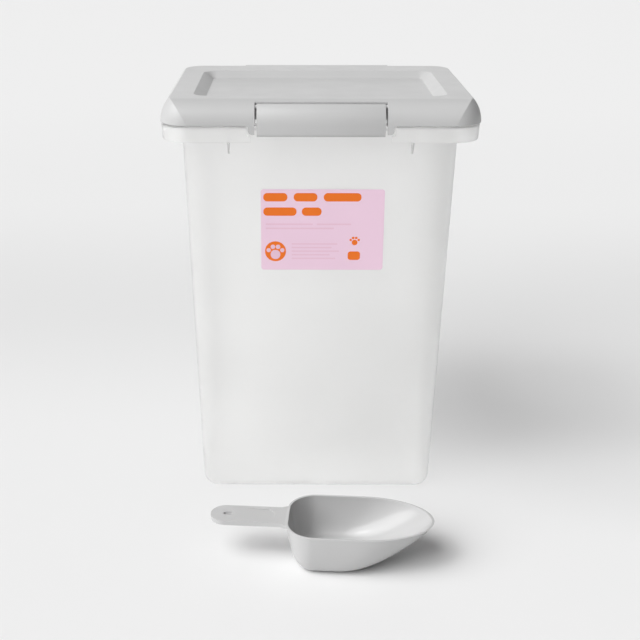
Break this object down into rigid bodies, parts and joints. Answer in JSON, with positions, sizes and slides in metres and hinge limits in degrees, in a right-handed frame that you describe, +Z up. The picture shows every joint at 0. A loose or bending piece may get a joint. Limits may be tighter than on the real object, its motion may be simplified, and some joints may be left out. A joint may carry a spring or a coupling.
{
  "type": "pet food bin",
  "caption": "Upright tapered storage bin for dry pet food, with a rear-hinged lid, a seal, a wide front latch and a pouring scoop.",
  "frame": {"origin": "middle of the tub's base, on the floor that the bin stands on", "axes": "+Z up; the latch and the label face -Y, the hinge is on the +Y side, and +X is to the right of someone facing the latch"},
  "size_m": [0.325, 0.4181, 0.449],
  "materials": {
    "frosted_plastic": "frosted, translucent",
    "grey_plastic": "satin",
    "seal_rubber": "matte",
    "label_film": "satin printed film"
  },
  "bodies": {
    "tub": {"tub": "frosted_plastic", "tub_rim": "frosted_plastic", "hinge_pins": "grey_plastic", "label": "label_film"},
    "lid": {"lid": "grey_plastic", "lid_seal": "seal_rubber"},
    "latch": {"latch": "grey_plastic"},
    "scoop": {"scoop": "grey_plastic"}
  },
  "joints": [
    {"name": "lid_hinge", "type": "hinge", "parent": "tub", "child": "lid", "pos_m": [0, 0.1335, 0.419], "axis": [-1, 0, 0], "range_deg": [0, 110]},
    {"name": "latch_hinge", "type": "hinge", "parent": "lid", "child": "latch", "pos_m": [0, -0.116, 0.44225], "axis": [-1, 0, 0], "range_deg": [0, 85]},
    {"name": "scoop_lift", "type": "slide", "parent": "tub", "child": "scoop", "axis": [0, 0, 1], "range_m": [0, 0.25]}
  ]
}
